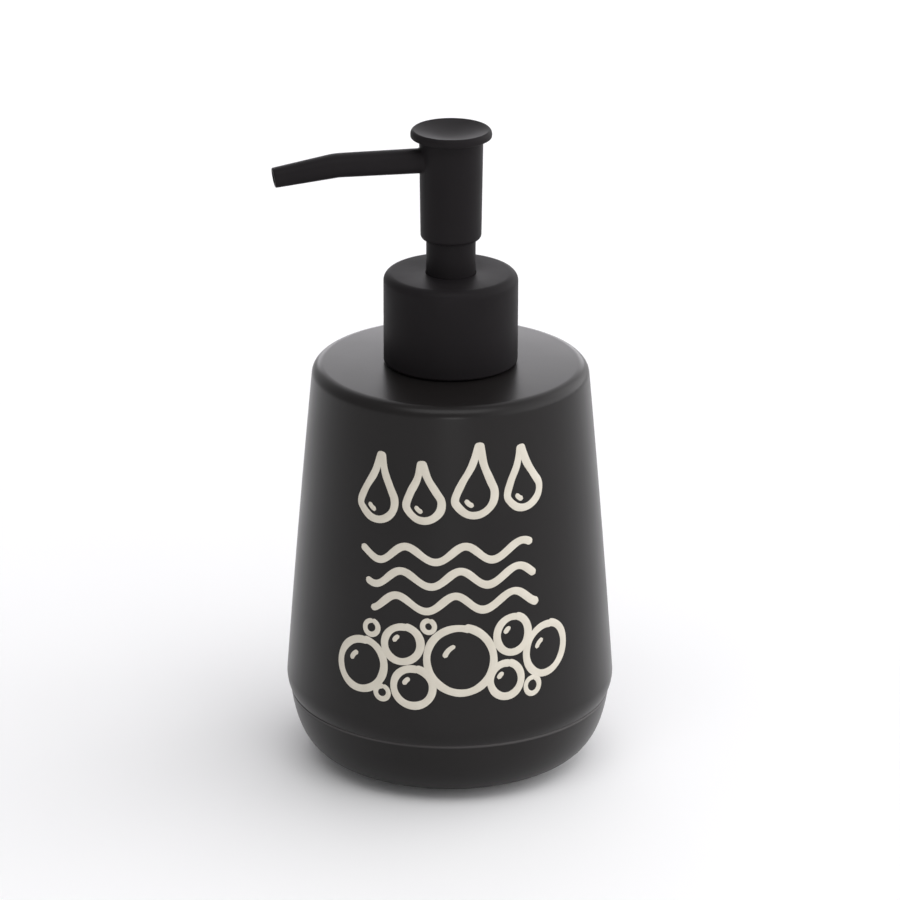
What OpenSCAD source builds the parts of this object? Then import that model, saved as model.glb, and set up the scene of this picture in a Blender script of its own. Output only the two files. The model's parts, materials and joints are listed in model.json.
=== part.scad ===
// Soap pump dispenser: a round ceramic vessel with a screw-on lotion pump.
// Millimetres, +Z up, origin on the vessel's axis at the face it stands on.
// The front of the vessel faces -Y and the spout points to -X.

/* [Vessel] */
// Radius of the flat face that the vessel stands on
foot_r = 28.4; // [26:0.1:30]
// Largest radius of the vessel, at its belly
belly_r = 42.13; // [41.5:0.01:43]
// Height of the belly's widest ring
belly_z = 22; // [21:0.5:23]
// Radius that the side wall would reach at the shoulder with no rounding
shoulder_r = 34.95; // [34:0.05:36]
// Height of the shoulder's outer edge
shoulder_edge_z = 106.05; // [105.6:0.05:106.2]
// Height of the flat land around the mouth
shoulder_z = 106.35; // [106.3:0.05:106.4]
// Rounding between side wall and shoulder
shoulder_round = 3.1; // [2:0.1:4]
// Height of the crease between bowl and belly
crease_z = 17.7; // [17.6:0.05:17.75]
// Thickness of the ceramic side wall
wall = 3.8; // [3.2:0.1:4.2]
// Thickness of the ceramic floor
floor_t = 4.5; // [4:0.1:5]
// Radius of the hole in the shoulder
mouth_r = 13.1; // [13.1:0.01:13.3]

/* [Neck thread] */
// Root radius of the neck's outside thread
neck_r = 12.5; // [12.4:0.01:12.55]
// Crest radius of the neck's outside thread
neck_crest_r = 13.65; // [13.5:0.01:13.7]
// Radius of the hole through the neck
neck_bore_r = 10.6; // [10.4:0.1:10.8]
// Height of the neck's rim
neck_top_z = 124.6; // [124.6:0.01:124.62]
// Rise of the thread in one turn
pitch = 4.23; // [4.2:0.01:4.24]
// Turns of thread on the neck
neck_turns = 1.5; // [1.25:0.25:1.5]
// Turns of thread inside the closure
closure_turns = 1.25; // [1:0.25:1.25]

/* [Collar] */
// Outer radius of the collar
collar_r = 17; // [16.8:0.05:17.2]
// Height of the collar's lower edge
collar_bottom_z = 106.7; // [106.7:0.05:107]
// Height of the collar's top face
collar_top_z = 130; // [129.9:0.05:130.1]
// Rounding of the collar's top edge
collar_round = 2.2; // [1.4:0.1:2.4]

/* [Pump] */
// Inside radius of the pump barrel
barrel_r = 6.2; // [6.2:0.01:6.21]
// Outside radius of the pump barrel
barrel_outer_r = 7.6; // [7.4:0.1:8]
// Outer radius of the fixed neck that the head slides over
guide_r = 6.23; // [6.2:0.01:6.25]
// Height of the top of the fixed neck
guide_top_z = 143.2; // [142:0.1:143.2]
// Outside radius of the pump stem
stem_r = 4; // [3.95:0.01:4]
// Radius of the passage through the stem
stem_bore_r = 1.7; // [1.6:0.05:1.8]
// Radius of the lower, inlet ball
inlet_ball_r = 2.5; // [2.4:0.05:2.5]
// Radius of the upper, outlet ball
outlet_ball_r = 2.4; // [2.35:0.01:2.4]
// Lift of each ball off its seat
ball_lift = 1.5; // [1:0.1:1.5]
// Outer radius of the dip tube
dip_r = 3.2; // [3:0.05:3.2]
// Height of the dip tube's lower end above the counter
dip_bottom_z = 9.5; // [8:0.5:14]

/* [Spring] */
// Thickness of the spring wire
wire_d = 0.9; // [0.8:0.05:1]
// Radius of the coil, to the middle of the wire
coil_r = 4.5; // [4.4:0.05:4.6]
// Turns in the spring
coil_turns = 8; // [6:1:9]

/* [Head] */
// Outer radius of the head's skirt at its lower edge
skirt_r = 7.68; // [7.6:0.01:7.8]
// Outer radius of the head under its rim
head_r = 8.03; // [7.9:0.01:8.1]
// Outer radius of the head's rim
rim_r = 10.2; // [10:0.01:10.3]
// Height of the head's lower edge
skirt_z = 138.86; // [138.8:0.01:139]
// Height of the rim's crest
rim_z = 167.46; // [167.3:0.01:167.6]
// Thickness of the rim at its edge
rim_t = 2.05; // [1.9:0.01:2.2]
// Depth of the thumb dish in the top
dish_depth = 1.5; // [1:0.1:2]

/* [Spout] */
// Turn of the spout from -X towards the front, in degrees
spout_yaw = 11; // [0:1:20]
// Height of the spout's axis
spout_z = 159.65; // [159:0.05:160]
// Distance from the pump's axis to the spout's bend
bend_x = 29; // [28:0.5:30]
// Length of the spout past its bend
tip_l = 16.1; // [14:0.1:17]
// Downward slope of the spout past its bend, in degrees
tip_slope = 8.5; // [6:0.5:10]
// Outer radius of the spout at the head
root_r = 3.15; // [3:0.05:3.2]
// Outer radius of the spout at its bend
bend_r = 3.0; // [2.9:0.01:3.1]
// Outer radius of the spout at its tip
tip_r = 2.5; // [2.4:0.01:2.6]
// Radius of the spout's passage
passage_r = 1.6; // [1.4:0.1:1.6]

/* [Hidden] */
$fn = 96;

// Gap between pieces that are pressed or snapped together, and between sliding pieces
fit_gap = 0.02;
slide_gap = 0.08;
// How far a tool cuts past the face that it opens
past = 1;

// Vessel's outline: the bowl's curve leaves the foot and meets the crease with these handles
foot_handle = [3.9, 2.74];
crease_handle = [-2.3, -16.8];
belly_round = 8.9;
crease_depth = 0.25;
crease_r = 41.1;
wall_slope = 4.9;
wall_bulge = 0.21;
shoulder_flat_r = 17.2;
wall_top_slope = 5.4;

// Neck insert
insert_flange_r = 15.2;
insert_flange_t = 1.2;
insert_plug_z = 99.5;
insert_plug_r = mouth_r - 0.05;
thread_sides = 36;
thread_root = 0.4;
neck_ridge_base = 2.4;
neck_ridge_crest = 1.2;
neck_thread_z = 116.2;

// Closure thread, which hangs just under the neck's thread
closure_bore_r = 13.95;
closure_crest_r = 12.75;
closure_ridge_base = 2.3;
closure_ridge_crest = 1.1;
closure_thread_drop = 1.82;
closure_bottom_z = 108.2;
closure_r = 15.45;
closure_hole_r = 8.6;

// Stack between the neck's rim and the top of the collar
gasket_t = 1;
flange_t = 1.5;
flange_r = 12.9;
flange_z = neck_top_z + gasket_t;
closure_top_z = flange_z + flange_t + 1.2;
guide_flange_z = closure_top_z + 0.05;
guide_flange_r = 10.6;
guide_flange_t = 0.65;
collar_lid_z = guide_flange_z + guide_flange_t + 0.05;

// Barrel, from its ball seat upwards
seat_z = 80;
seat_r = 1.75;
seat_top_z = seat_z + barrel_r - seat_r;
inlet_ball_z = seat_z - seat_r + inlet_ball_r * sqrt(2) + fit_gap;
socket_bottom_z = 70;
socket_r = 4.9;
dip_top_z = 78.6;
cage_z = seat_top_z + 0.05;
cage_top_z = 87;
cage_bar_z = inlet_ball_z + inlet_ball_r + ball_lift + 0.05;

// Plunger at rest, from the spring upwards
rod_flange_z = 109;
piston_z = 110.5;
piston_h = 6;
guide_bottom_z = 119.5;
stem_top_z = 156;
outlet_seat_z = 151;
outlet_ball_z = outlet_seat_z - stem_bore_r + outlet_ball_r * sqrt(2) + fit_gap;
outlet_cup_r = 2.9;

// Head
head_bore_r = guide_r + 0.2;
head_roof_z = 163.6;
rim_under_z = rim_z - rim_t;
lip_round = 0.35;
lip_z = rim_under_z + lip_round;
crest_r = 9.5;
dish_out = [7, rim_z - 0.64];
dish_in_r = 3.6;
elbow_z = 152.4;
// The ball at the spout's bend stands this far proud of the two cones that meet in it
bend_swell = 0.04;

// Points of a cubic curve from a to d
function curve(a, b, c, d, steps = 12) = [
    for (i = [0 : steps])
        let (t = i / steps, s = 1 - t)
            s * s * s * a + 3 * s * s * t * b + 3 * s * t * t * c + t * t * t * d
];

// Points of an arc round a centre, from one angle to another
function arc(centre, r, from, to, steps = 8) = [
    for (i = [0 : steps])
        let (a = from + (to - from) * i / steps)
            centre + r * [cos(a), sin(a)]
];

// Points of the slightly swollen side wall between two points of the outline
function side_wall(low, high, bulge, steps = 10) = [
    for (i = [1 : steps - 1])
        let (u = i / steps)
            low + u * (high - low) + [4 * bulge * u * (1 - u), 0]
];

// One cross-section of a thread: its flanks run on into the wall that carries it
function ridge(base_r, crest_r, base_w, crest_w, height) =
    let (
        depth = crest_r - base_r,
        root_r = base_r - thread_root * sign(depth),
        root_w = base_w + (base_w - crest_w) * thread_root / abs(depth),
        tip_r = base_r + depth * height,
        tip_w = base_w + (crest_w - base_w) * height
    )
        [[root_r, -root_w / 2], [tip_r, -tip_w / 2], [tip_r, tip_w / 2], [root_r, root_w / 2]];

// Solid swept round Z by sections that climb one pitch a turn
module helix(sections, turn_steps, rise) {
    n = len(sections);
    m = len(sections[0]);
    points = [
        for (i = [0 : n - 1], p = sections[i])
            let (a = 360 * i / turn_steps)
                [p[0] * cos(a), p[0] * sin(a), p[1] + rise * i / turn_steps]
    ];
    sides = [
        for (i = [0 : n - 2], j = [0 : m - 1])
            let (k = (j + 1) % m)
                each [
                    [i * m + k, (i + 1) * m + j, i * m + j],
                    [(i + 1) * m + k, (i + 1) * m + j, i * m + k]
                ]
    ];
    ends = [[for (j = [m - 1 : -1 : 0]) j], [for (j = [0 : m - 1]) (n - 1) * m + j]];
    polyhedron(points, concat(sides, ends), convexity = 8);
}

// Thread ridge that fades in and out over a twelfth of a turn
module thread(base_r, crest_r, base_w, crest_w, turns) {
    steps = turns * thread_sides;
    fade = thread_sides / 12;
    sections = [
        for (i = [0 : steps])
            let (height = 0.1 + 0.9 * min(1, i / fade, (steps - i) / fade))
                ridge(base_r, crest_r, base_w, crest_w, height)
    ];
    flipped = [for (s = sections) [for (j = [len(s) - 1 : -1 : 0]) s[j]]];
    helix(crest_r > base_r ? sections : flipped, thread_sides, pitch);
}

// Tube between two heights
module tube(r, bore, low, high) {
    difference() {
        translate([0, 0, low]) cylinder(r = r, h = high - low);
        translate([0, 0, low - past]) cylinder(r = bore, h = high - low + 2 * past);
    }
}

module vessel() {
    low = [belly_r - belly_round + belly_round * cos(wall_slope), belly_z + belly_round * sin(wall_slope)];
    corner = [shoulder_r, shoulder_edge_z];
    bowl_top = [crease_r, crease_z - 0.1];
    round_z = shoulder_edge_z - shoulder_round;
    round_x = shoulder_r + tan(wall_top_slope) * shoulder_round - shoulder_round / cos(wall_top_slope);
    crease_a = -asin((belly_z - crease_z - 0.12) / belly_round);
    outline = concat(
        [[0, 0]],
        curve([foot_r, 0], [foot_r, 0] + foot_handle, bowl_top + crease_handle, bowl_top, 14),
        [[crease_r - crease_depth, crease_z]],
        arc([belly_r - belly_round, belly_z], belly_round, crease_a, wall_slope),
        side_wall(low, corner, wall_bulge),
        arc([round_x, round_z], shoulder_round, wall_top_slope, 89),
        [[shoulder_flat_r, shoulder_z], [0, shoulder_z]]
    );
    inner_round = 3;
    inner_top_z = shoulder_z - wall;
    inner_top_r = shoulder_r - wall + 0.3;
    hollow = concat(
        [[0, floor_t]],
        curve([22, floor_t], [31, floor_t], [36.6, 7], [belly_r - wall - 0.9, crease_z]),
        [[belly_r - wall, belly_z + 1]],
        arc([inner_top_r - inner_round, inner_top_z - inner_round], inner_round, 5, 90),
        [[0, inner_top_z]]
    );
    color([0.17, 0.165, 0.165])
        difference() {
            rotate_extrude() polygon(outline);
            rotate_extrude() polygon(hollow);
            translate([0, 0, inner_top_z - past]) cylinder(r = mouth_r, h = wall + 2 * past);
        }
}

module neck_insert() {
    plug_chamfer = 0.8;
    outline = [
        [neck_bore_r, insert_plug_z], [insert_plug_r - plug_chamfer, insert_plug_z],
        [insert_plug_r, insert_plug_z + plug_chamfer], [insert_plug_r, shoulder_z],
        [insert_flange_r, shoulder_z], [insert_flange_r, shoulder_z + insert_flange_t],
        [neck_r, shoulder_z + insert_flange_t], [neck_r, neck_top_z], [neck_bore_r, neck_top_z]
    ];
    color([0.13, 0.13, 0.135]) {
        rotate_extrude() polygon(outline);
        translate([0, 0, neck_thread_z])
            thread(neck_r, neck_crest_r, neck_ridge_base, neck_ridge_crest, neck_turns);
    }
}

module neck_gasket() {
    color([0.85, 0.85, 0.83]) tube(neck_r, barrel_outer_r + 1.6, neck_top_z, neck_top_z + gasket_t);
}

module threaded_closure() {
    lid_t = 1.1;
    outline = [
        [closure_bore_r, closure_bottom_z], [closure_r, closure_bottom_z],
        [closure_r, closure_top_z], [closure_hole_r, closure_top_z],
        [closure_hole_r, closure_top_z - lid_t], [closure_bore_r, closure_top_z - lid_t]
    ];
    color([0.14, 0.14, 0.145]) {
        rotate_extrude() polygon(outline);
        translate([0, 0, neck_thread_z - closure_thread_drop])
            thread(closure_bore_r, closure_crest_r, closure_ridge_base, closure_ridge_crest, closure_turns);
    }
}

module collar_shell() {
    edge_round = 0.6;
    inner_r = closure_r + fit_gap;
    outline = concat(
        [[inner_r, collar_bottom_z]],
        arc([collar_r - edge_round, collar_bottom_z + edge_round], edge_round, -90, 0, 4),
        arc([collar_r - collar_round, collar_top_z - collar_round], collar_round, 0, 90),
        [[guide_r + 0.22, collar_top_z], [guide_r + 0.22, collar_lid_z], [inner_r, collar_lid_z]]
    );
    color([0.2, 0.19, 0.2]) rotate_extrude() polygon(outline);
}

module pump_housing() {
    lug_z = closure_top_z;
    outer = [
        [0, socket_bottom_z], [socket_r, socket_bottom_z], [socket_r, 78],
        [barrel_outer_r, 81], [barrel_outer_r, flange_z], [flange_r, flange_z],
        [flange_r, flange_z + flange_t], [closure_hole_r - 0.1, flange_z + flange_t],
        [closure_hole_r - 0.1, lug_z], [0, lug_z]
    ];
    inner = [
        [0, dip_top_z], [seat_r, dip_top_z], [seat_r, seat_z],
        [barrel_r, seat_top_z], [barrel_r, lug_z + past], [0, lug_z + past]
    ];
    vent_z = 118;
    color([0.88, 0.88, 0.86])
        difference() {
            rotate_extrude() polygon(outer);
            rotate_extrude() polygon(inner);
            translate([0, 0, socket_bottom_z - past])
                cylinder(r = dip_r + fit_gap, h = dip_top_z - socket_bottom_z + past);
            translate([0, 0, vent_z])
                rotate([0, 90, 0]) cylinder(r = 0.6, h = barrel_outer_r + past, $fn = 24);
        }
}

module guide_neck() {
    wiper_r = 5.2;
    top_round = 0.5;
    bore = stem_r + slide_gap;
    outline = concat(
        [[bore, guide_bottom_z + 2.6], [wiper_r, guide_bottom_z + 2.6], [wiper_r, guide_bottom_z]],
        [[barrel_r - fit_gap, guide_bottom_z], [barrel_r - fit_gap, guide_flange_z]],
        [[guide_flange_r, guide_flange_z], [guide_flange_r, guide_flange_z + guide_flange_t]],
        [[guide_r, guide_flange_z + guide_flange_t]],
        arc([guide_r - top_round, guide_top_z - top_round], top_round, 0, 90, 4),
        [[bore, guide_top_z]]
    );
    color([0.15, 0.145, 0.145]) rotate_extrude() polygon(outline);
}

module stem_wiper() {
    color([0.85, 0.85, 0.83])
        tube(5.2 - fit_gap, stem_r + 0.04, guide_bottom_z + 0.3, guide_bottom_z + 2.6);
}

module return_spring() {
    turn_steps = 24;
    wire_sides = 8;
    length = rod_flange_z - cage_top_z - wire_d - 0.04;
    steps = coil_turns * turn_steps;
    wire = [
        for (j = [0 : wire_sides - 1])
            let (a = 360 * j / wire_sides)
                [coil_r + wire_d / 2 * cos(a), wire_d / 2 * sin(a)]
    ];
    sections = [for (i = [0 : steps]) wire];
    color([0.75, 0.76, 0.78])
        translate([0, 0, cage_top_z + wire_d / 2 + 0.02]) helix(sections, turn_steps, length / coil_turns);
}

module ball_cage() {
    ring_r = 4.6;
    bar_w = 1.8;
    color([0.88, 0.88, 0.86]) {
        tube(barrel_r - fit_gap, ring_r, cage_z, cage_top_z);
        for (a = [0, 90])
            rotate([0, 0, a])
                translate([-ring_r - 0.2, -bar_w / 2, cage_bar_z])
                    cube([2 * ring_r + 0.4, bar_w, cage_top_z - cage_bar_z]);
    }
}

module inlet_ball() {
    color([0.8, 0.85, 0.85]) translate([0, 0, inlet_ball_z]) sphere(r = inlet_ball_r);
}

module dip_tube() {
    color([0.9, 0.9, 0.9])
        difference() {
            tube(dip_r, 2.2, dip_bottom_z, dip_top_z);
            translate([0, 0, dip_bottom_z])
                rotate([0, 35, 0]) translate([0, 0, -10]) cube([30, 20, 20], center = true);
        }
}

module pump_stem() {
    shoulder_low_z = piston_z + piston_h;
    outline = [
        [stem_bore_r, piston_z], [stem_r, piston_z], [stem_r, shoulder_low_z],
        [5, shoulder_low_z], [5, shoulder_low_z + 1], [stem_r, shoulder_low_z + 2],
        [stem_r, stem_top_z], [outlet_cup_r, stem_top_z],
        [outlet_cup_r, outlet_seat_z + outlet_cup_r - stem_bore_r], [stem_bore_r, outlet_seat_z]
    ];
    color([0.86, 0.86, 0.84]) rotate_extrude() polygon(outline);
}

module piston() {
    lip_r = barrel_r - 0.03;
    hub_r = 5;
    web_z = piston_z + 2.4;
    outline = [
        [stem_r + fit_gap, piston_z], [hub_r, piston_z], [hub_r, web_z], [lip_r - 0.5, web_z],
        [lip_r - 0.5, piston_z + 0.4], [lip_r, piston_z + 0.2], [lip_r, piston_z + piston_h - 0.4],
        [lip_r - 0.5, piston_z + piston_h - 0.6], [lip_r - 0.5, web_z + 1], [hub_r, web_z + 1],
        [hub_r, piston_z + piston_h], [stem_r + fit_gap, piston_z + piston_h]
    ];
    color([0.93, 0.93, 0.92]) rotate_extrude() polygon(outline);
}

module piston_rod() {
    bore = 1.1;
    outline = [
        [bore, rod_flange_z - 5], [2.6, rod_flange_z - 5], [3.2, rod_flange_z - 4],
        [3.2, rod_flange_z], [5.4, rod_flange_z], [5.4, piston_z], [stem_bore_r - fit_gap, piston_z],
        [stem_bore_r - fit_gap, piston_z + 8], [bore, piston_z + 8]
    ];
    color([0.86, 0.86, 0.84]) rotate_extrude() polygon(outline);
}

module outlet_ball() {
    color([0.8, 0.85, 0.85]) translate([0, 0, outlet_ball_z]) sphere(r = outlet_ball_r);
}

// Places what it holds at the spout's bend, with -X down the sloping tip
module at_bend() {
    translate([-bend_x, 0, spout_z]) rotate([0, -tip_slope, 0]) children();
}

module spout_outside() {
    translate([0, 0, spout_z]) rotate([0, -90, 0]) cylinder(r1 = root_r, r2 = bend_r, h = bend_x);
    translate([-bend_x, 0, spout_z]) sphere(r = bend_r + bend_swell);
    at_bend() rotate([0, -90, 0]) cylinder(r1 = bend_r, r2 = tip_r, h = tip_l);
}

module spout_passage(from) {
    translate([-from, 0, spout_z]) rotate([0, -90, 0]) cylinder(r = passage_r, h = bend_x - from);
    translate([-bend_x, 0, spout_z]) sphere(r = passage_r + bend_swell);
    at_bend() rotate([0, -90, 0]) cylinder(r = passage_r, h = tip_l + past);
}

module pump_head() {
    edge_round = 1.3;
    dish_z = rim_z - dish_depth;
    outline = concat(
        [[0, skirt_z], [skirt_r - edge_round, skirt_z]],
        arc([skirt_r - edge_round, skirt_z + edge_round], edge_round, -75, 0, 5),
        [[head_r, rim_under_z - 0.2]],
        arc([rim_r - lip_round, lip_z], lip_round, -85, 0, 4),
        curve(
            [rim_r, lip_z + 0.05], [rim_r + 0.08, lip_z + 0.7],
            [rim_r - 0.05, rim_z - 0.26], [crest_r, rim_z], 8
        ),
        curve([crest_r - 0.2, rim_z - 0.03], dish_out, [dish_in_r, dish_z], [0, dish_z], 10)
    );
    color([0.15, 0.145, 0.15])
        rotate([0, 0, spout_yaw])
            difference() {
                union() {
                    rotate_extrude() polygon(outline);
                    spout_outside();
                }
                translate([0, 0, skirt_z - past])
                    cylinder(r = head_bore_r, h = head_roof_z - skirt_z + past);
                spout_passage(head_bore_r - past);
            }
}

module flow_elbow() {
    chamber_r = 3.2;
    pin_r = 1;
    pin_z = outlet_ball_z + outlet_ball_r + ball_lift + 0.05;
    roof_z = head_roof_z - fit_gap;
    chamber_top_z = spout_z + passage_r + 0.2;
    color([0.16, 0.155, 0.16])
        rotate([0, 0, spout_yaw])
            difference() {
                translate([0, 0, elbow_z]) cylinder(r = head_bore_r - fit_gap, h = roof_z - elbow_z);
                translate([0, 0, elbow_z - past])
                    cylinder(r = stem_r + 0.03, h = stem_top_z - elbow_z + past);
                difference() {
                    translate([0, 0, stem_top_z - past])
                        cylinder(r = chamber_r, h = chamber_top_z - stem_top_z + past);
                    translate([0, 0, pin_z]) cylinder(r = pin_r, h = roof_z - pin_z);
                }
                translate([-2, 0, spout_z]) rotate([0, -90, 0]) cylinder(r = passage_r, h = head_bore_r);
            }
}

vessel();
neck_insert();
neck_gasket();
threaded_closure();
collar_shell();
pump_housing();
guide_neck();
stem_wiper();
return_spring();
ball_cage();
inlet_ball();
dip_tube();
pump_stem();
piston();
piston_rod();
outlet_ball();
pump_head();
flow_elbow();
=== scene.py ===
"""Looks of the soap pump dispenser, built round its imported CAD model.

The scene is in metres, with +Z up and the front towards -Y. Outlines, and the sizes and heights
that shape them, are in mm, and new_piece scales what is built from them to metres.
"""
import json
import math

import bmesh
import bpy
from mathutils import Matrix, Vector


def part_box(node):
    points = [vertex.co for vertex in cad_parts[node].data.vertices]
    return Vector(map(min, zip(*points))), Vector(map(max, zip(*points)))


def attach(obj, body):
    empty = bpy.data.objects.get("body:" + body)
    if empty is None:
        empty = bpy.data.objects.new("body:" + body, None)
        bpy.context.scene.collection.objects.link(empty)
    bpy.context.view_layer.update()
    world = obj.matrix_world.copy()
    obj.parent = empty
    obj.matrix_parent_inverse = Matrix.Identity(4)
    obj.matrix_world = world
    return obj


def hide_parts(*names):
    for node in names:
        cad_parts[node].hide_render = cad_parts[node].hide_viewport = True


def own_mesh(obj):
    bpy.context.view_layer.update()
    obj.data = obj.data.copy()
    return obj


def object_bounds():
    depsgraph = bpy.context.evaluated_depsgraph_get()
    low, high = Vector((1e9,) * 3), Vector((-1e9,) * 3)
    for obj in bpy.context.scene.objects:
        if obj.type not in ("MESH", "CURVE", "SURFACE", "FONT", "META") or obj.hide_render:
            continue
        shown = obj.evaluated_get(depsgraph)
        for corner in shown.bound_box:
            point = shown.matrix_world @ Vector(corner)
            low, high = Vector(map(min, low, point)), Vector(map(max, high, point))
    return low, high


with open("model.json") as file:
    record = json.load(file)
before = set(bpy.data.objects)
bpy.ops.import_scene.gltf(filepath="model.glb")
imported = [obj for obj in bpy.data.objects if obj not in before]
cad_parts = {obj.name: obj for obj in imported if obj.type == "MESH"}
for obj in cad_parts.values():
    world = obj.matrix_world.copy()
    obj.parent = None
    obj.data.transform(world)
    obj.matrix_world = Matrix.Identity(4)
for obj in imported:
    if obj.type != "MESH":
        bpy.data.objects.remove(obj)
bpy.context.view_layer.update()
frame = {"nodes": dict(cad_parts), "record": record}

MM = 0.001
TURN_STEPS = 192


# ---------------------------------------------------------------- outlines

def curve(a, b, c, d, steps=24):
    """Points of a cubic Bezier curve from a to d, pulled towards b and c."""
    points = []
    for i in range(steps + 1):
        t = i / steps
        s = 1 - t
        weights = (s * s * s, 3 * s * s * t, 3 * s * t * t, t * t * t)
        points.append(tuple(sum(w * p[k] for w, p in zip(weights, (a, b, c, d))) for k in (0, 1)))
    return points


def arc(centre, radius, start, end, steps=16):
    """Points of an arc round a centre, between two angles in degrees."""
    points = []
    for i in range(steps + 1):
        a = math.radians(start + (end - start) * i / steps)
        points.append((centre[0] + radius * math.cos(a), centre[1] + radius * math.sin(a)))
    return points


def low_z(node):
    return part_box(node)[0].z / MM


def high_z(node):
    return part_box(node)[1].z / MM


def radius_of(node):
    """Largest radius of a round node about Z, in mm."""
    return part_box(node)[1].x / MM


# ---------------------------------------------------------------- meshes

def new_piece(name, bm, material, sharp_deg=32):
    """An object from a bmesh in mm, smooth except where its faces meet at more than sharp_deg."""
    bmesh.ops.recalc_face_normals(bm, faces=bm.faces)
    mesh = bpy.data.meshes.new(name)
    bm.to_mesh(mesh)
    bm.free()
    mesh.transform(Matrix.Scale(MM, 4))
    mesh.shade_smooth()
    mesh.set_sharp_from_angle(angle=math.radians(sharp_deg))
    mesh.materials.append(material)
    piece = bpy.data.objects.new(name, mesh)
    bpy.context.scene.collection.objects.link(piece)
    return piece


def lathe(outline, steps=TURN_STEPS):
    """A closed bmesh turned round Z from (radius, height) points.

    An outline that starts and ends on the axis makes a solid, and any other is closed into a ring.
    """
    bm = bmesh.new()
    rings = []
    for r, z in outline:
        if r < 1e-6:
            rings.append([bm.verts.new((0, 0, z))])
            continue
        ring = []
        for i in range(steps):
            a = 2 * math.pi * i / steps
            ring.append(bm.verts.new((r * math.cos(a), r * math.sin(a), z)))
        rings.append(ring)
    pairs = list(zip(rings, rings[1:]))
    if len(rings[0]) > 1:
        pairs.append((rings[-1], rings[0]))
    for low, high in pairs:
        for i in range(steps):
            k = (i + 1) % steps
            corners = [low[i % len(low)], low[k % len(low)], high[k % len(high)], high[i % len(high)]]
            bm.faces.new(list(dict.fromkeys(corners)))
    return bm


def sweep(rings):
    """A bmesh skinned over rings of points, with a cap on each end."""
    bm = bmesh.new()
    rows = [[bm.verts.new(p) for p in ring] for ring in rings]
    count = len(rows[0])
    for low, high in zip(rows, rows[1:]):
        for i in range(count):
            k = (i + 1) % count
            bm.faces.new((low[i], low[k], high[k], high[i]))
    bm.faces.new(rows[0])
    bm.faces.new(rows[-1])
    return bm


def combine(target, tool, operation):
    """Applies a boolean of tool on target and removes tool."""
    modifier = target.modifiers.new("cut", "BOOLEAN")
    modifier.object = tool
    modifier.operation = operation
    modifier.solver = "EXACT"
    bpy.context.view_layer.update()
    graph = bpy.context.evaluated_depsgraph_get()
    result = bpy.data.meshes.new_from_object(target.evaluated_get(graph))
    target.modifiers.clear()
    target.data = result
    bpy.data.objects.remove(tool)


# ---------------------------------------------------------------- materials

class Shader:
    """A node material with one Principled shader and short calls for what feeds it."""

    def __init__(self, name, **sockets):
        self.material = bpy.data.materials.new(name)
        self.material.use_nodes = True
        self.tree = self.material.node_tree
        self.bsdf = self.tree.nodes["Principled BSDF"]
        for socket, value in sockets.items():
            self.bsdf.inputs[socket.replace("_", " ")].default_value = value

    def node(self, kind, **values):
        made = self.tree.nodes.new(kind)
        for key, value in values.items():
            if hasattr(made, key):
                setattr(made, key, value)
            else:
                made.inputs[key.replace("_", " ")].default_value = value
        return made

    def link(self, source, target):
        self.tree.links.new(source, target)

    def noise(self, scale, detail=3.0, roughness=0.5):
        """Noise in the piece's own space, scale in cycles a metre."""
        place = self.node("ShaderNodeTexCoord")
        noise = self.node("ShaderNodeTexNoise", Scale=scale, Detail=detail, Roughness=roughness)
        self.link(place.outputs["Object"], noise.inputs["Vector"])
        return noise.outputs["Fac"]

    def ramp(self, fac, low, high, start=0.3, end=0.7):
        """Mixes two colours by a factor."""
        ramp = self.node("ShaderNodeValToRGB")
        ramp.color_ramp.elements[0].position = start
        ramp.color_ramp.elements[1].position = end
        ramp.color_ramp.elements[0].color = (*low, 1)
        ramp.color_ramp.elements[1].color = (*high, 1)
        self.link(fac, ramp.inputs["Fac"])
        return ramp.outputs["Color"]

    def spread(self, fac, low, high, start=0.3, end=0.7):
        """Maps a factor to a range."""
        spread = self.node("ShaderNodeMapRange")
        for key, value in (("From Min", start), ("From Max", end), ("To Min", low), ("To Max", high)):
            spread.inputs[key].default_value = value
        self.link(fac, spread.inputs["Value"])
        return spread.outputs["Result"]

    def band(self, height, half):
        """A level band in the piece's own space, strong in places and faint in others."""
        place = self.node("ShaderNodeTexCoord")
        split = self.node("ShaderNodeSeparateXYZ")
        self.link(place.outputs["Object"], split.inputs["Vector"])
        off = self.node("ShaderNodeMath", operation="SUBTRACT")
        off.inputs[1].default_value = height
        self.link(split.outputs["Z"], off.inputs[0])
        far = self.node("ShaderNodeMath", operation="ABSOLUTE")
        self.link(off.outputs["Value"], far.inputs[0])
        line = self.spread(far.outputs["Value"], 1, 0, 0.3 * half, half)
        patchy = self.node("ShaderNodeMath", operation="MULTIPLY")
        self.link(line, patchy.inputs[0])
        self.link(self.spread(self.noise(22, 1), 0.45, 1), patchy.inputs[1])
        return patchy.outputs["Value"]

    def bump(self, fac, strength, depth):
        """Adds bump of a depth in metres on top of any bump that is already there."""
        bump = self.node("ShaderNodeBump", Strength=strength, Distance=depth)
        self.link(fac, bump.inputs["Height"])
        normal = self.bsdf.inputs["Normal"]
        if normal.is_linked:
            self.link(normal.links[0].from_socket, bump.inputs["Normal"])
        self.link(bump.outputs["Normal"], normal)


# Height and half width of the painted highlight: a lighter band of base colour along the crease, standing in
# for light caught by the lip.
CREASE_HIGHLIGHT_Z = 17.45
CREASE_HIGHLIGHT_HALF = 0.55


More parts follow.
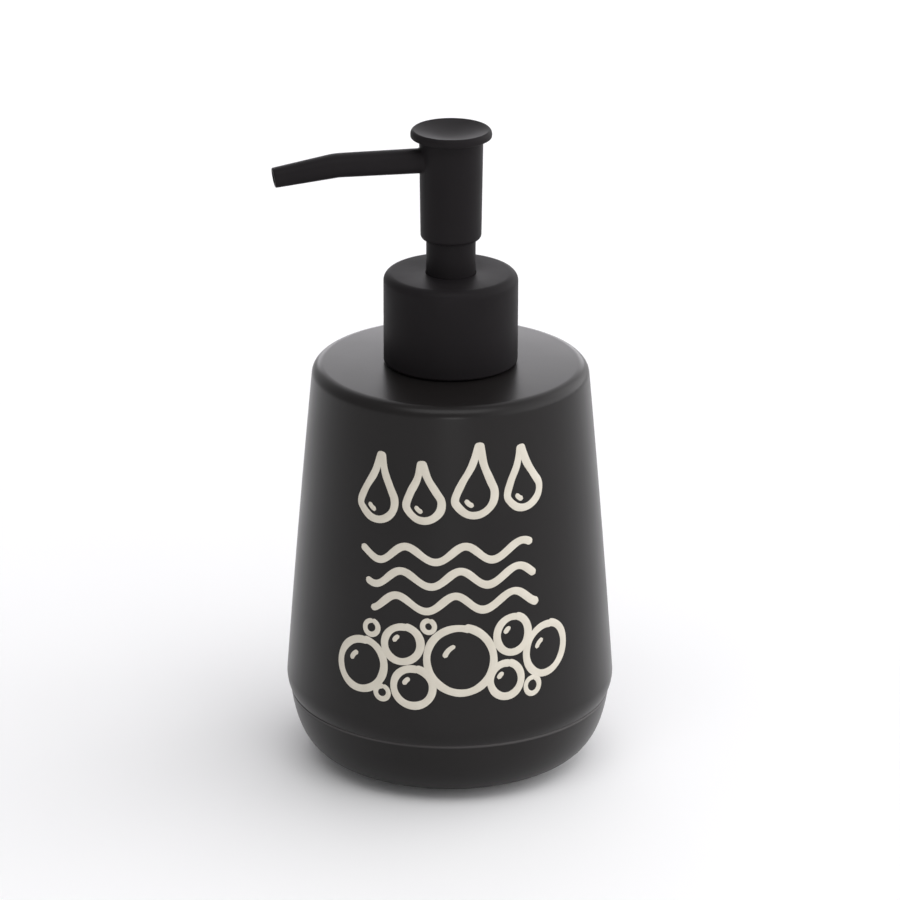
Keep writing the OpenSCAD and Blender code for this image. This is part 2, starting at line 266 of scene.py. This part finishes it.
def glaze():
    """Satin black glaze: slightly uneven in tone, with a painted highlight along the crease, a lighter band
    in its base colour.
    """
    s = Shader("satin_black_glaze", IOR=1.5, Specular_IOR_Level=0.21)
    glaze_tone = s.ramp(s.noise(35), (0.0100, 0.0088, 0.0087), (0.0121, 0.0108, 0.0106))
    # Painted highlight: colour B lightens the base colour in a band along the crease.
    crease_highlight = s.node("ShaderNodeMix", data_type="RGBA")
    crease_highlight.inputs["B"].default_value = (0.062, 0.058, 0.058, 1)
    s.link(s.band(CREASE_HIGHLIGHT_Z * MM, CREASE_HIGHLIGHT_HALF * MM), crease_highlight.inputs["Factor"])
    s.link(glaze_tone, crease_highlight.inputs["A"])
    s.link(crease_highlight.outputs["Result"], s.bsdf.inputs["Base Color"])
    s.link(s.spread(s.noise(60, 4), 0.285, 0.325), s.bsdf.inputs["Roughness"])
    s.bump(s.noise(900, 2), 0.06, 0.00003)
    s.bump(s.noise(120, 1), 0.2, 0.00006)
    return s.material


def black_plastic():
    """Black polypropylene with the fine satin of a spark-eroded mould."""
    s = Shader("black_satin_plastic", IOR=1.49, Specular_IOR_Level=0.07)
    tone = s.ramp(s.noise(50), (0.0108, 0.0094, 0.0102), (0.0130, 0.0115, 0.0124))
    s.link(tone, s.bsdf.inputs["Base Color"])
    s.link(s.spread(s.noise(90, 4), 0.48, 0.56), s.bsdf.inputs["Roughness"])
    s.bump(s.noise(3500, 2), 0.15, 0.00002)
    return s.material


def enamel():
    """Cream enamel brushed on the glaze, slightly uneven in tone."""
    s = Shader("cream_enamel", IOR=1.5)
    tone = s.ramp(s.noise(220, 4), (0.58, 0.54, 0.455), (0.64, 0.60, 0.515))
    s.link(tone, s.bsdf.inputs["Base Color"])
    s.link(s.spread(s.noise(300, 3), 0.45, 0.58), s.bsdf.inputs["Roughness"])
    s.bump(s.noise(1400, 3), 0.25, 0.00003)
    return s.material


def natural_plastic(name="natural_polypropylene", tint=(0.78, 0.78, 0.74)):
    """Milky unpigmented plastic of the parts inside the pump."""
    s = Shader(name, IOR=1.49, Subsurface_Weight=0.25, Subsurface_Scale=0.002)
    dim = tuple(0.94 * c for c in tint)
    s.link(s.ramp(s.noise(140), dim, tint), s.bsdf.inputs["Base Color"])
    s.link(s.spread(s.noise(400, 3), 0.34, 0.44), s.bsdf.inputs["Roughness"])
    s.bump(s.noise(2500, 2), 0.1, 0.00002)
    return s.material


def tube_plastic():
    """Translucent drawn tube with faint draw lines along it."""
    s = Shader("drawn_polyethylene", IOR=1.5, Transmission_Weight=0.45)
    place = s.node("ShaderNodeTexCoord")
    stretch = s.node("ShaderNodeMapping")
    stretch.inputs["Scale"].default_value = (1, 1, 0.03)
    lines = s.node("ShaderNodeTexNoise", Scale=1500, Detail=2)
    s.link(place.outputs["Object"], stretch.inputs["Vector"])
    s.link(stretch.outputs["Vector"], lines.inputs["Vector"])
    s.link(s.ramp(lines.outputs["Fac"], (0.76, 0.78, 0.76), (0.84, 0.85, 0.83)), s.bsdf.inputs["Base Color"])
    s.link(s.spread(lines.outputs["Fac"], 0.25, 0.36), s.bsdf.inputs["Roughness"])
    s.bump(lines.outputs["Fac"], 0.2, 0.00003)
    return s.material


def spring_steel():
    """Drawn stainless wire."""
    s = Shader("stainless_wire", Metallic=1.0)
    s.link(s.ramp(s.noise(900, 3), (0.52, 0.52, 0.51), (0.66, 0.65, 0.63)), s.bsdf.inputs["Base Color"])
    s.link(s.spread(s.noise(1200, 3), 0.22, 0.34), s.bsdf.inputs["Roughness"])
    s.bump(s.noise(4000, 2), 0.1, 0.00001)
    return s.material


def ball_glass():
    """Ground glass ball with a faint haze."""
    s = Shader("glass_ball", IOR=1.52, Transmission_Weight=0.9)
    s.link(s.ramp(s.noise(500), (0.78, 0.88, 0.85), (0.86, 0.93, 0.90)), s.bsdf.inputs["Base Color"])
    s.link(s.spread(s.noise(1500, 3), 0.03, 0.10), s.bsdf.inputs["Roughness"])
    return s.material


GLAZE = glaze()
BLACK = black_plastic()
CREAM = enamel()
SLOT_MATERIALS = {
    "ceramic": GLAZE,
    "black_plastic": BLACK,
    "natural_plastic": natural_plastic(),
    "natural_seal": natural_plastic("soft_polyethylene", (0.80, 0.80, 0.77)),
    "tube_plastic": tube_plastic(),
    "spring_steel": spring_steel(),
    "ball_glass": ball_glass(),
}


def finish_cad_nodes():
    """Gives every CAD node that stays its slot's material and smooth shading between its edges."""
    slots = {s["node"]: s["material_slot"] for s in frame["record"]["subparts"]}
    for name, node in frame["nodes"].items():
        node.data.materials.clear()
        node.data.materials.append(SLOT_MATERIALS[slots[name]])
        node.data.shade_smooth()
        node.data.set_sharp_from_angle(angle=math.radians(32))


def stand_for(piece, node, body):
    """The piece is shown in place of a CAD node and rides on its body."""
    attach(piece, body)
    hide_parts(node)


# ---------------------------------------------------------------- camera and light

CAMERA_DISTANCE = 1.25
CAMERA_UP_DEG = 20.7
LOOK_AT = Vector((0, 0, 0.082))
CAMERA_ROLL_DEG = 0.15
LENS_MM = 195.95
SIDE_STEP = -0.00010
REAR_TINT = (0.98, 0.955, 1.0)
ROOM_ALL = 0.36
ROOM_RIGHT = 2.45
ROOM_BACK = 0.65
FLOOR_DROP = 0.0002


def add_camera():
    camera = bpy.data.cameras.new("camera")
    camera.lens = LENS_MM
    camera.sensor_width = 36
    camera.clip_start = 0.05
    holder = bpy.data.objects.new("camera", camera)
    up = math.radians(CAMERA_UP_DEG)
    away = Vector((SIDE_STEP, -CAMERA_DISTANCE * math.cos(up), CAMERA_DISTANCE * math.sin(up)))
    holder.location = LOOK_AT + away
    holder.rotation_euler = (math.pi / 2 - up, 0, 0)
    holder.rotation_euler.rotate_axis("Z", math.radians(CAMERA_ROLL_DEG))
    bpy.context.scene.collection.objects.link(holder)
    bpy.context.scene.camera = holder


def add_softbox(name, place, aim, size, watts, colour=(1, 1, 1)):
    light = bpy.data.lights.new(name, "AREA")
    light.shape = "RECTANGLE"
    light.size, light.size_y = size
    light.energy = watts
    light.color = colour
    holder = bpy.data.objects.new(name, light)
    holder.location = place
    holder.rotation_euler = (Vector(aim) - Vector(place)).to_track_quat("-Z", "Y").to_euler()
    bpy.context.scene.collection.objects.link(holder)


def add_world():
    """A white room that is brighter towards its right and back walls."""
    world = bpy.data.worlds.new("studio")
    world.use_nodes = True
    tree = world.node_tree
    background = tree.nodes["Background"]
    background.inputs["Color"].default_value = (0.985, 0.98, 1.0, 1)
    place = tree.nodes.new("ShaderNodeTexCoord")
    towards = tree.nodes.new("ShaderNodeVectorMath")
    towards.operation = "MAXIMUM"
    square = tree.nodes.new("ShaderNodeVectorMath")
    square.operation = "MULTIPLY"
    weigh = tree.nodes.new("ShaderNodeVectorMath")
    weigh.operation = "DOT_PRODUCT"
    weigh.inputs[1].default_value = (ROOM_RIGHT, ROOM_BACK, 0)
    total = tree.nodes.new("ShaderNodeMath")
    total.inputs[1].default_value = ROOM_ALL
    tree.links.new(place.outputs["Generated"], towards.inputs[0])
    tree.links.new(towards.outputs["Vector"], square.inputs[0])
    tree.links.new(towards.outputs["Vector"], square.inputs[1])
    tree.links.new(square.outputs["Vector"], weigh.inputs[0])
    tree.links.new(weigh.outputs["Value"], total.inputs[0])
    tree.links.new(total.outputs["Value"], background.inputs["Strength"])
    bpy.context.scene.world = world


def add_floor():
    bm = bmesh.new()
    bmesh.ops.create_grid(bm, x_segments=8, y_segments=8, size=6000)
    s = Shader("pale_floor", Roughness=0.9)
    s.link(s.ramp(s.noise(3), (0.90, 0.90, 0.90), (0.93, 0.93, 0.93)), s.bsdf.inputs["Base Color"])
    floor = new_piece("floor", bm, s.material)
    floor.location.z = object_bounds()[0].z - FLOOR_DROP


# ---------------------------------------------------------------- vessel

SHOULDER_Z = high_z("vessel")
BELLY_R = radius_of("vessel")
BELLY_Z = 22
BELLY_ROUND = 8.9
CREASE_Z = 17.7
CREASE_R = 41.1
CREASE_DEPTH = 0.05
CREASE_RISE = 0.12
BOWL_LIP_ROUND = 0.2
BOWL_LIP_R = CREASE_R + 0.06
FOOT_R = 28.4
FOOT_BEVEL = 0.35
FOOT_BEVEL_H = 0.12
SHOULDER_R = 34.95
SHOULDER_EDGE_Z = SHOULDER_Z - 0.3
SHOULDER_ROUND = 3.1
WALL = 3.8
INNER_ROUND = 3
FLOOR_T = 4.5
SEAT_R = 17.2
MOUTH_R = 13.1
MOUTH_BEVEL = 0.4
WALL_LOW_DEG = 4.9
WALL_TOP_DEG = 5.4
WALL_BULGE = 0.21


def side_wall(steps=48):
    """The slightly swollen wall between belly and shoulder, without its two ends."""
    low_a = math.radians(WALL_LOW_DEG)
    low = (BELLY_R - BELLY_ROUND + BELLY_ROUND * math.cos(low_a), BELLY_Z + BELLY_ROUND * math.sin(low_a))
    points = []
    for i in range(1, steps):
        u = i / steps
        z = low[1] + u * (SHOULDER_EDGE_Z - low[1])
        points.append((low[0] + u * (SHOULDER_R - low[0]) + 4 * WALL_BULGE * u * (1 - u), z))
    top_z = SHOULDER_EDGE_Z - SHOULDER_ROUND
    return [p for p in points if p[1] < top_z]


def vessel_outside():
    crease_deg = -math.degrees(math.asin((BELLY_Z - CREASE_Z - CREASE_RISE) / BELLY_ROUND))
    lean = math.radians(WALL_TOP_DEG)
    corner_r = SHOULDER_R + math.tan(lean) * SHOULDER_ROUND - SHOULDER_ROUND / math.cos(lean)
    points = [(0, 0), (FOOT_R - FOOT_BEVEL, 0)]
    lip_z = CREASE_Z - BOWL_LIP_ROUND
    lip = (BOWL_LIP_R, lip_z)
    points += curve((FOOT_R, FOOT_BEVEL_H), (FOOT_R + 3.9, 2.74), (CREASE_R - 2.3, 0.9), lip, 40)
    points += arc((BOWL_LIP_R - BOWL_LIP_ROUND, lip_z), BOWL_LIP_ROUND, 10, 80, 8)
    points += [(CREASE_R - CREASE_DEPTH, CREASE_Z)]
    points += arc((BELLY_R - BELLY_ROUND, BELLY_Z), BELLY_ROUND, crease_deg, WALL_LOW_DEG, 20)
    points += side_wall()
    points += arc((corner_r, SHOULDER_EDGE_Z - SHOULDER_ROUND), SHOULDER_ROUND, WALL_TOP_DEG, 89, 20)
    points += [(SEAT_R, SHOULDER_Z), (MOUTH_R + MOUTH_BEVEL, SHOULDER_Z)]
    return points


def vessel_inside():
    top_z = SHOULDER_Z - WALL
    top_r = SHOULDER_R - WALL + 0.3
    points = [(MOUTH_R, SHOULDER_Z - MOUTH_BEVEL), (MOUTH_R, top_z)]
    points += arc((top_r - INNER_ROUND, top_z - INNER_ROUND), INNER_ROUND, 90, 5, 12)
    points += [(BELLY_R - WALL, BELLY_Z + 1)]
    points += curve((BELLY_R - WALL - 0.9, CREASE_Z), (36.6, 7), (31, FLOOR_T), (22, FLOOR_T), 20)
    points += [(0, FLOOR_T)]
    return points


OUTSIDE = vessel_outside()


def wall_r(z):
    """Outside radius of the wall at a height above the crease."""
    for (r0, z0), (r1, z1) in zip(OUTSIDE, OUTSIDE[1:]):
        if z0 <= z <= z1 and z0 > CREASE_Z:
            return r0 + (r1 - r0) * (z - z0) / (z1 - z0)
    raise ValueError(f"height {z} is off the wall")


def add_vessel():
    piece = new_piece("ceramic_vessel", lathe(OUTSIDE + vessel_inside(), 256), GLAZE, 25)
    stand_for(piece, "vessel", "vessel")


# ---------------------------------------------------------------- brushed decoration

STROKE_W = 2.05
STROKE_GAP = 0.25
STROKE_SIDES = 6
STROKE_RISE = 0.02
HIGHLIGHT_W = 1.3
SMALL_RING_W = 1.4
RING_SQUEEZE = 1.03
ROW_CLIMB = 0.03
PAINT_UP = 0.10
PAINT_EDGE = 0.02
PAINT_DOWN = 0.10


def smooth_path(points, steps):
    """A smooth path through points (u along the wall, z up), in mm."""
    last = len(points) - 1
    path = []
    for i in range(last):
        near = [points[min(max(i + k, 0), last)] for k in (-1, 0, 1, 2)]
        for s in range(steps):
            t = s / steps
            spot = []
            for axis in (0, 1):
                a, b, c, d = (p[axis] for p in near)
                bend = (2 * a - 5 * b + 4 * c - d) * t * t + (3 * b - a - 3 * c + d) * t * t * t
                spot.append(0.5 * (2 * b + (c - a) * t + bend))
            path.append(tuple(spot))
    path.append(points[-1])
    return path


def even_path(path, gap):
    """The same path with points at even distances."""
    lengths = [0.0]
    for p, q in zip(path, path[1:]):
        lengths.append(lengths[-1] + math.dist(p, q))
    count = max(4, round(lengths[-1] / gap))
    even, k = [], 0
    for i in range(count + 1):
        at = lengths[-1] * i / count
        while k < len(path) - 2 and lengths[k + 1] < at:
            k += 1
        step = lengths[k + 1] - lengths[k] or 1.0
        t = (at - lengths[k]) / step
        p, q = path[k], path[k + 1]
        even.append(tuple(p[axis] + t * (q[axis] - p[axis]) for axis in (0, 1)))
    return even


def on_wall(u, z, lift):
    """A point of the front wall, u mm to the right of the middle along the wall, lift mm off it."""
    r = wall_r(z)
    a = u / r
    return ((r + lift) * math.sin(a), -(r + lift) * math.cos(a), z)


def stroke(path, width, seed):
    """Rings of one brush stroke: round ends, a domed face and a hand's small changes of width.

    A stroke rises a little from start to end, so that a ring's end lies on top of its start.
    """
    path = even_path(path, STROKE_GAP)
    total = len(path) - 1
    gap = math.dist(path[0], path[1])
    rings = []
    for i, (u, z) in enumerate(path):
        back, ahead = path[max(i - 1, 0)], path[min(i + 1, total)]
        length = math.dist(back, ahead)
        side = (-(ahead[1] - back[1]) / length, (ahead[0] - back[0]) / length)
        wobble = 1 + 0.05 * math.sin(0.11 * i + seed) + 0.03 * math.sin(0.27 * i + 2 * seed)
        from_end = min(i, total - i) * gap / (0.5 * width)
        roundness = math.sqrt(max(0.02, 1 - max(0.0, 1 - from_end) ** 2))
        half = 0.5 * width * wobble * roundness
        ring = []
        for k in range(STROKE_SIDES + 1):
            s = 2 * k / STROKE_SIDES - 1
            dome = PAINT_UP * math.sqrt(max(0.0, 1 - s * s))
            height = dome - PAINT_EDGE + STROKE_RISE * i / total
            ring.append(on_wall(u + side[0] * half * s, z + side[1] * half * s, height))
        for k in range(STROKE_SIDES, -1, -1):
            s = 2 * k / STROKE_SIDES - 1
            ring.append(on_wall(u + side[0] * half * s, z + side[1] * half * s, -PAINT_DOWN))
        rings.append(ring)
    return rings


def ring_path(u, z, r, seed):
    """A hand-drawn ring whose end runs a little past its start."""
    steps = 28
    start_deg, overlap_deg = 70, 14
    path = []
    for i in range(steps + 1):
        a = math.radians(start_deg + (360 + overlap_deg) * i / steps)
        drift = 1 + 0.035 * math.sin(2 * a + seed) + 0.04 * (i / steps - 0.5)
        path.append((u + r * drift * math.cos(a), z + RING_SQUEEZE * r * drift * math.sin(a)))
    return smooth_path(path, 6)


def drop_path(u, z, width, height, lean):
    """A drop with its point up: u, z is the middle of its round belly.

    The low part of its shape is in half widths, and the rest is scaled to the height of its tip.
    """
    half = width / 2
    tip = height - half
    shape = [
        (0, tip), (-0.28, 0.58 * tip), (-0.72, 0.25 * tip), (-1.0, -0.04 * tip),
        (-0.86, -0.50), (-0.42, -0.90), (0.08, -1.0), (0.56, -0.83), (0.92, -0.42),
        (0.98, 0.06 * tip), (0.70, 0.28 * tip), (0.29, 0.60 * tip), (0.01, tip),
    ]
    path = []
    for k, (x, y) in enumerate(shape):
        low_part = 4 <= k <= 8
        y = y * half if low_part else y
        path.append((u + x * half + lean * max(y, 0), z + y))
    return smooth_path(path, 8)


def wave_path(u0, u1, z, height, length, phase):
    """A hand-drawn wave from u0 to u1."""
    steps = 40
    path = []
    for i in range(steps + 1):
        u = u0 + (u1 - u0) * i / steps
        tall = height * (1 + 0.12 * math.sin(0.31 * u + phase))
        path.append((u, z + 0.5 * tall * math.sin(2 * math.pi * u / length + phase)))
    return smooth_path(path, 4)


def highlight_path(u, z, r, start_deg, end_deg):
    """A short arc inside a ring or a drop."""
    return arc((u, z), r, start_deg, end_deg, 10)


def lean_row(point):
    """Rows climb a little to the right, as by hand."""
    u, z = point
    return u, z + ROW_CLIMB * u


def decoration_strokes():
    """Paths and widths of the strokes of three rows of soap motifs: drops, waves and bubbles."""
    strokes = []
    for u, z, width, height, lean in (
        (-19.0, 81.4, 9.6, 17.6, 0.10),
        (-6.6, 81.8, 9.0, 15.4, -0.06),
        (6.2, 83.4, 10.0, 18.6, 0.08),
        (19.2, 83.2, 9.2, 16.4, -0.10),
    ):
        strokes.append((drop_path(u, z, width, height, lean), STROKE_W))
        strokes.append((highlight_path(u, z - 0.1, 0.24 * width, 195, 262), HIGHLIGHT_W))
    for k, z in enumerate((68.4, 62.0, 55.6)):
        strokes.append((wave_path(-23.5 + 1.4 * k, 21.5 + 1.0 * k, z, 3.9, 14.8, 0.5 * k), STROKE_W))
    for u, z, r, seed in (
        (-23.6, 38.2, 6.4, 0.3),
        (-12.2, 44.9, 4.6, 1.1),
        (-9.4, 33.8, 4.9, 2.0),
        (2.6, 40.9, 8.4, 2.9),
        (14.4, 34.6, 4.2, 3.7),
        (16.2, 46.2, 4.4, 4.5),
        (25.8, 40.4, 6.0, 5.2),
    ):
        strokes.append((ring_path(u, z, r, seed), STROKE_W))
        strokes.append((highlight_path(u, z, 0.48 * r, 108, 168), HIGHLIGHT_W))
    for u, z, r, seed in (
        (-20.6, 48.2, 1.8, 0.7),
        (-17.6, 31.6, 1.7, 1.9),
        (-5.4, 49.9, 1.5, 3.1),
        (21.8, 31.6, 2.0, 4.3),
    ):
        strokes.append((ring_path(u, z, r, seed), SMALL_RING_W))
    return [([lean_row(p) for p in path], width) for path, width in strokes]


def add_decoration():
    bm = bmesh.new()
    for k, (path, width) in enumerate(decoration_strokes()):
        part = sweep(stroke(path, width, 1.7 * k))
        mesh = bpy.data.meshes.new("stroke")
        part.to_mesh(mesh)
        part.free()
        bm.from_mesh(mesh)
        bpy.data.meshes.remove(mesh)
    piece = new_piece("brushed_decoration", bm, CREAM, 50)
    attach(piece, "vessel")


# ---------------------------------------------------------------- collar and fixed neck

COLLAR_ROUND = 2.2
COLLAR_EDGE_ROUND = 0.6
COLLAR_LID_T = 0.85
COLLAR_HOLE_ROUND = 0.15
COLLAR_HOLE_GAP = 0.12
CLOSURE_GAP = 0.02
GUIDE_R = 6.23
GUIDE_BORE_R = 4.08
GUIDE_TOP_ROUND = 0.5
GUIDE_PLUG_R = 6.18
GUIDE_FLANGE_GAP = 0.05
GUIDE_FLANGE_T = 0.65
WIPER_SPACE_R = 5.2
WIPER_SPACE_H = 2.6


def add_collar():
    outer_r = radius_of("collar_shell")
    inner_r = radius_of("threaded_closure") + CLOSURE_GAP
    low, high = low_z("collar_shell"), high_z("collar_shell")
    hole_r = GUIDE_R + COLLAR_HOLE_GAP
    lid_low = high - COLLAR_LID_T
    edge, top, hole = COLLAR_EDGE_ROUND, COLLAR_ROUND, COLLAR_HOLE_ROUND
    outline = [(inner_r, low)]
    outline += arc((outer_r - edge, low + edge), edge, -90, 0, 8)
    outline += arc((outer_r - top, high - top), top, 0, 90, 20)
    outline += arc((hole_r + hole, high - hole), hole, 90, 180, 4)
    outline += [(hole_r, lid_low), (inner_r, lid_low)]
    piece = new_piece("collar_cover", lathe(outline), BLACK, 40)
    stand_for(piece, "collar_shell", "collar")


def add_guide_neck():
    low, high = low_z("guide_neck"), high_z("guide_neck")
    flange_r = radius_of("guide_neck")
    wiper_top = low + WIPER_SPACE_H
    flange_low = high_z("threaded_closure") + GUIDE_FLANGE_GAP
    flange_high = flange_low + GUIDE_FLANGE_T
    outline = [
        (GUIDE_BORE_R, wiper_top), (WIPER_SPACE_R, wiper_top), (WIPER_SPACE_R, low),
        (GUIDE_PLUG_R, low), (GUIDE_PLUG_R, flange_low),
        (flange_r, flange_low), (flange_r, flange_high), (GUIDE_R, flange_high),
    ]
    outline += arc((GUIDE_R - GUIDE_TOP_ROUND, high - GUIDE_TOP_ROUND), GUIDE_TOP_ROUND, 0, 90, 8)
    outline += [(GUIDE_BORE_R, high)]
    piece = new_piece("fixed_neck", lathe(outline, 128), BLACK, 40)
    stand_for(piece, "guide_neck", "pump_core")


# ---------------------------------------------------------------- pump head

SKIRT_R = 7.68
HEAD_R = 8.03
SKIRT_ROUND = 1.3
RIM_R = 10.2
RIM_T = 2.05
LIP_CORNER = 0.35
CREST_R = 9.5
DISH_DEPTH = 1.5
HEAD_BORE_R = GUIDE_R + 0.2
HEAD_ROOF_Z = 163.6
SPOUT_YAW_DEG = 11
SPOUT_Z = 159.65
BEND_X = 29
TIP_L = 16.1
TIP_SLOPE_DEG = 8.5
ROOT_R = 3.15
BEND_R = 3.0
TIP_R = 2.5
PASSAGE_R = 1.6
BEND_BLEND = 1.3
TIP_ROUND = 0.35
ROOT_DEPTH = 0.1
ROOT_OVERLAP = 1.2
SPOUT_FILLET = 0.4
SPOUT_POWER = 2.25


def head_outline():
    low, high = low_z("pump_head"), high_z("pump_head")
    under_z = high - RIM_T
    lip_z = under_z + LIP_CORNER
    dish_z = high - DISH_DEPTH
    outline = [(0, HEAD_ROOF_Z), (HEAD_BORE_R, HEAD_ROOF_Z), (HEAD_BORE_R, low)]
    outline += arc((SKIRT_R - SKIRT_ROUND, low + SKIRT_ROUND), SKIRT_ROUND, -75, 0, 12)
    outline += arc((HEAD_R + 0.3, under_z - 0.5), 0.3, 180, 97, 6)
    outline += arc((RIM_R - LIP_CORNER, lip_z), LIP_CORNER, -85, 0, 8)
    rim_low, rim_high = (RIM_R, lip_z + 0.05), (CREST_R, high)
    outline += curve(rim_low, (RIM_R + 0.08, lip_z + 0.7), (RIM_R - 0.05, high - 0.26), rim_high, 16)
    outline += curve((CREST_R - 0.2, high - 0.03), (7, high - 0.64), (3.6, dish_z), (0, dish_z), 30)
    return outline


def spout_line(start_x, end_past=0.0):
    """Points, slopes and radii down the spout, from start_x to end_past beyond its tip."""
    slope = math.radians(TIP_SLOPE_DEG)
    rows = []
    for i in range(21):
        x = start_x + (BEND_X - BEND_BLEND - start_x) * i / 20
        r = ROOT_R + (BEND_R - ROOT_R) * x / BEND_X
        rows.append(((-x, SPOUT_Z), 0.0, r))
    for i in range(1, 9):
        a = slope * i / 8
        reach = BEND_BLEND * 2 * i / 8
        x = BEND_X - BEND_BLEND + reach
        drop = 0.5 * reach * math.sin(a)
        rows.append(((-x, SPOUT_Z - drop), a, BEND_R))
    last_x, last_z = -rows[-1][0][0], rows[-1][0][1]
    tip_x = BEND_X + (TIP_L + end_past) * math.cos(slope)
    tip_z = SPOUT_Z - (TIP_L + end_past) * math.sin(slope)
    for i in range(1, 17):
        u = i / 16
        r = BEND_R + (TIP_R - BEND_R) * u
        rows.append(((-(last_x + u * (tip_x - last_x)), last_z + u * (tip_z - last_z)), slope, r))
    return rows


def spout_ring(centre, slope, r, power=SPOUT_POWER, count=48):
    """A cross-section square to the spout: a circle at power 2, and squarer above it."""
    ring = []
    for k in range(count):
        a = 2 * math.pi * k / count
        c, s = math.cos(a), math.sin(a)
        y = r * math.copysign(abs(c) ** (2 / power), c)
        w = r * math.copysign(abs(s) ** (2 / power), s)
        ring.append((centre[0] - w * math.sin(slope), y, centre[1] + w * math.cos(slope)))
    return ring


def up_spout(point, slope, back):
    """The point that lies back mm up the spout from another."""
    return point[0] + back * math.cos(slope), point[1] + back * math.sin(slope)


def spout_root():
    """Rings of the fillet where the spout meets the round head, from inside the head outwards."""
    body_r = HEAD_R - ROOT_DEPTH
    spots = []
    for i in range(7):
        a = math.radians(80 * (1 - i / 7))
        x = body_r + SPOUT_FILLET - SPOUT_FILLET * math.sin(a)
        spots.append((x, ROOT_R + SPOUT_FILLET * (1 - math.cos(a))))
    spots.insert(0, (spots[0][0] - ROOT_OVERLAP, spots[0][1]))
    rings = []
    for x, r in spots:
        ring = []
        for px, y, z in spout_ring((-x, SPOUT_Z), 0.0, r):
            bulge = body_r - math.sqrt(max(body_r * body_r - y * y, 0))
            ring.append((px + bulge, y, z))
        rings.append(ring)
    return rings


def spout_tip(tip, slope, r):
    """Rings of the rounded end of the spout."""
    rings = [spout_ring(up_spout(tip, slope, TIP_ROUND), slope, r)]
    for i in range(1, 5):
        a = math.radians(90 * i / 4)
        back = TIP_ROUND * (1 - math.sin(a))
        inset = TIP_ROUND * (1 - math.cos(a))
        rings.append(spout_ring(up_spout(tip, slope, back), slope, r - inset))
    return rings


def spout_outside():
    rows = spout_line(HEAD_R - ROOT_DEPTH + SPOUT_FILLET)
    rings = spout_root()
    rings += [spout_ring(centre, slope, r) for centre, slope, r in rows[:-1]]
    return sweep(rings + spout_tip(*rows[-1]))


def spout_passage():
    rows = spout_line(HEAD_BORE_R - 1.0, 1.0)
    return sweep([spout_ring(centre, slope, PASSAGE_R, 2, 32) for centre, slope, r in rows])


def add_pump_head():
    head = new_piece("pump_head_and_spout", lathe(head_outline()), BLACK)
    combine(head, new_piece("spout_tool", spout_outside(), BLACK), "UNION")
    combine(head, new_piece("passage_tool", spout_passage(), BLACK), "DIFFERENCE")
    head.data.transform(Matrix.Rotation(math.radians(SPOUT_YAW_DEG), 4, "Z"))
    head.data.materials.clear()
    head.data.materials.append(BLACK)
    head.data.shade_smooth()
    head.data.set_sharp_from_angle(angle=math.radians(30))
    stand_for(head, "pump_head", "head")


# ---------------------------------------------------------------- return spring

WIRE_D = 0.9
COIL_TURNS = 8


def add_spring():
    """The coil, built between the ends of the CAD spring and riding on the pump core."""
    low, high = low_z("return_spring"), high_z("return_spring")
    coil_r = radius_of("return_spring") - WIRE_D / 2
    turn_steps, sides = 48, 16
    steps = COIL_TURNS * turn_steps
    rise = (high - low - WIRE_D) / steps
    rings = []
    for i in range(steps + 1):
        a = 2 * math.pi * i / turn_steps
        ring = []
        for k in range(sides):
            b = 2 * math.pi * k / sides
            r = coil_r + WIRE_D / 2 * math.cos(b)
            z = low + WIRE_D / 2 * (1 + math.sin(b)) + rise * i
            ring.append((r * math.cos(a), r * math.sin(a), z))
        rings.append(ring)
    piece = new_piece("coil_spring", sweep(rings), SLOT_MATERIALS["spring_steel"], 60)
    stand_for(piece, "return_spring", "pump_core")
    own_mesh(piece)


# ---------------------------------------------------------------- build

add_camera()
add_world()
add_floor()
add_softbox("rear_low", (0, 1.2, 0.32), (0, 0, 0.1), (0.9, 0.3), 2.25, REAR_TINT)
add_softbox("rear_top", (0, 0.75, 0.9), (0, 0.3, 0), (0.8, 0.8), 1.3, REAR_TINT)
add_softbox("right", (0.7, 0.55, 0.45), (0, 0, 0.08), (0.5, 0.8), 0.9)
add_softbox("over", (0, -0.48, 1.05), (0, 0, 0.1), (1.0, 0.6), 4.3)
add_softbox("front_line", (0.04, -1.1, 0.17), (0, 0, 0.1), (0.25, 0.05), 1.0)

finish_cad_nodes()
add_vessel()
add_decoration()
add_collar()
add_guide_neck()
add_pump_head()
add_spring()

bpy.context.scene.view_settings.view_transform = "Standard"
